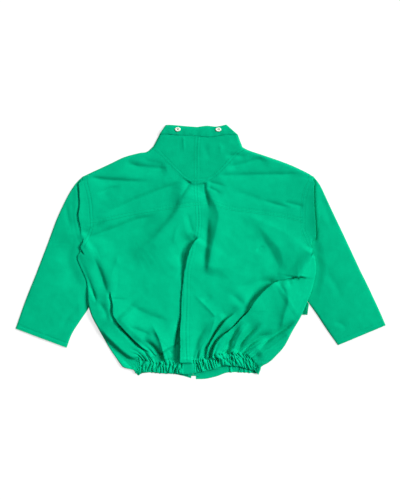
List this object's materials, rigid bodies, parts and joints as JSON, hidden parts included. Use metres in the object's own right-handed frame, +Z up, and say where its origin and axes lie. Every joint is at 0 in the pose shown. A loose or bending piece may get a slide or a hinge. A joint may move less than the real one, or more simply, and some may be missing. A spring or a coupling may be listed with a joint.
{
  "type": "flight jacket laid flat",
  "caption": "Blouson flight jacket of plain light cotton, laid flat on its front with the back uppermost: stand collar, yoke, dropped sleeves and an elasticated ruffled hem",
  "frame": {"origin": "the middle of the bounding box at its base, where the jacket rests on the surface", "axes": "+Z up away from the surface, +Y towards the collar, +X towards the sleeve that lies on the right when the back is seen from above"},
  "size_m": [0.89, 0.612, 0.0167],
  "materials": {
    "shell_cloth": "matt plain weave with a slight sheen",
    "zip_tape": "matt woven tape",
    "zip_chain": "matt moulded teeth",
    "snap_cap": "satin"
  },
  "bodies": {
    "root": {"back_lower_left": "shell_cloth", "back_lower_right": "shell_cloth", "back_yoke_left": "shell_cloth", "back_yoke_right": "shell_cloth", "neck_insert_left": "shell_cloth", "neck_insert_right": "shell_cloth", "collar_band": "shell_cloth", "collar_front_left": "shell_cloth", "collar_front_right": "shell_cloth", "sleeve_left": "shell_cloth", "sleeve_right": "shell_cloth", "front_left": "shell_cloth", "front_right": "shell_cloth", "hem_back": "shell_cloth", "hem_front_left": "shell_cloth", "hem_front_right": "shell_cloth", "pocket_flap_left": "shell_cloth", "pocket_flap_right": "shell_cloth", "zip_tape_left": "zip_tape", "zip_tape_right": "zip_tape", "zip_chain": "zip_chain", "snap_left": "snap_cap", "snap_right": "snap_cap"}
  },
  "joints": []
}
